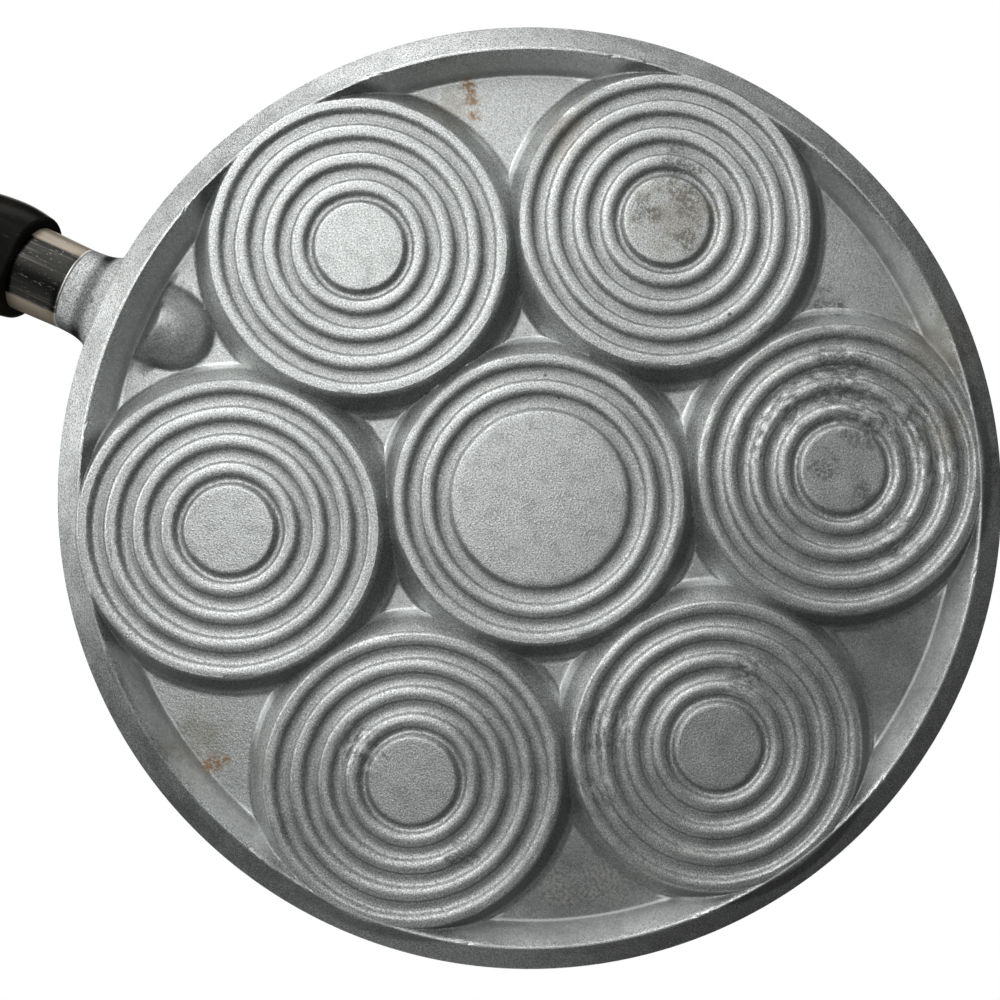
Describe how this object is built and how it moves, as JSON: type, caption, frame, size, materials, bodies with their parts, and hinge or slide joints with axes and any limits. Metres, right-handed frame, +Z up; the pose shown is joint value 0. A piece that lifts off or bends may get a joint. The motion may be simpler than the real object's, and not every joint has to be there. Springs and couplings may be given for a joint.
{
  "type": "small pancake pan",
  "caption": "Shallow round cast pan with a round well in the middle and a ring of wells round it, cast rings on its underside, and a straight moulded handle.",
  "frame": {"origin": "on the rest plane, under the middle of the pan", "axes": "+Z up out of the wells; +X along the handle, away from the pan"},
  "size_m": [0.4389, 0.2666, 0.0519],
  "materials": {
    "cast_aluminium": "sand-cast, tumbled, a little stained",
    "plated_steel": "bright plated, lightly scratched",
    "phenolic": "moulded, worn to a soft gloss",
    "screw_steel": "zinc plated"
  },
  "bodies": {
    "root": {"pan_casting": "cast_aluminium", "ferrule": "plated_steel", "handle_grip": "phenolic", "handle_bolt": "screw_steel", "flat_washer": "screw_steel", "lock_washer": "screw_steel"}
  },
  "joints": []
}
